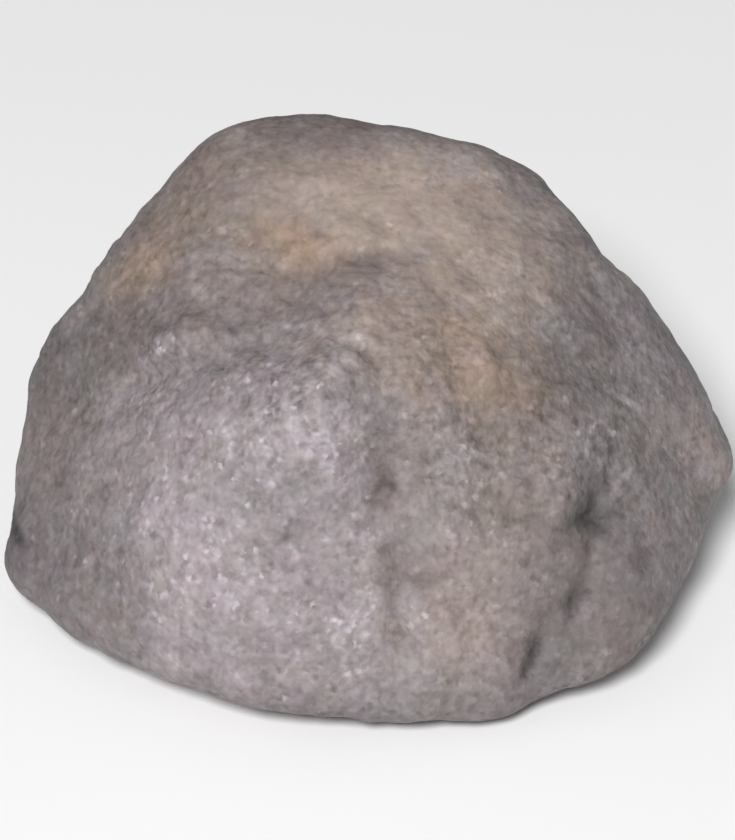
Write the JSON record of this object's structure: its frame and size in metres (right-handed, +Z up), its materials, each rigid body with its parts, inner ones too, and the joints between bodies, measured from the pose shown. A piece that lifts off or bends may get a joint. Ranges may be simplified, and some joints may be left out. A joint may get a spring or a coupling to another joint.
{
  "type": "quartzite stone",
  "caption": "Rough block of grey-pink quartzite with broken faces, worn edges, a furrow and a pit, lying on a flat underside.",
  "frame": {"origin": "under the middle of the stone's bounding box, on the plane it lies on", "axes": "+Z up, +X along the stone's longest side, -Y towards the broken front with its two lobes and the furrow between them"},
  "size_m": [0.0914, 0.0744, 0.0584],
  "materials": {
    "quartzite": "matte broken and weathered stone, with fine glints of quartz grains"
  },
  "bodies": {
    "root": {"quartzite_stone": "quartzite"}
  },
  "joints": []
}
